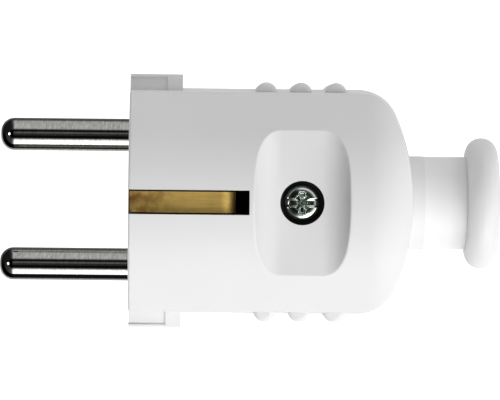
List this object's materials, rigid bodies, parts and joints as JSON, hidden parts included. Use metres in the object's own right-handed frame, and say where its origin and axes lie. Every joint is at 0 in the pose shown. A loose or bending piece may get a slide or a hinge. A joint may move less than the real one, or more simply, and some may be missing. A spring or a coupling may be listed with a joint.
{
  "type": "type f plug",
  "caption": "White rewireable earthed mains plug with round pins, side earth contacts, a finger recess with a housing screw and a beaded cord outlet.",
  "frame": {"origin": "centre of the engagement face, midway between the pins", "axes": "-X along the pins into the socket, +X out of the cord outlet, +Y across the pins, +Z through the side earth contact that is up"},
  "size_m": [0.0728, 0.0368, 0.0348],
  "materials": {
    "housing": "satin",
    "sleeve": "satin",
    "carrier": "matte",
    "pins": "polished",
    "brass": "satin",
    "screws": "satin",
    "zinc": "satin"
  },
  "bodies": {
    "root": {"upper_shell": "housing", "lower_shell": "housing", "pin_carrier": "carrier", "line_pin": "pins", "neutral_pin": "pins", "line_terminal_screw": "screws", "neutral_terminal_screw": "screws", "earth_strap": "brass", "earth_clamp_plate": "screws", "earth_terminal_screw": "screws", "cord_clamp_bar": "carrier", "cord_clamp_screw_left": "screws", "cord_clamp_screw_right": "screws", "cord_sleeve": "sleeve", "housing_screw": "zinc", "housing_nut": "zinc"}
  },
  "joints": []
}
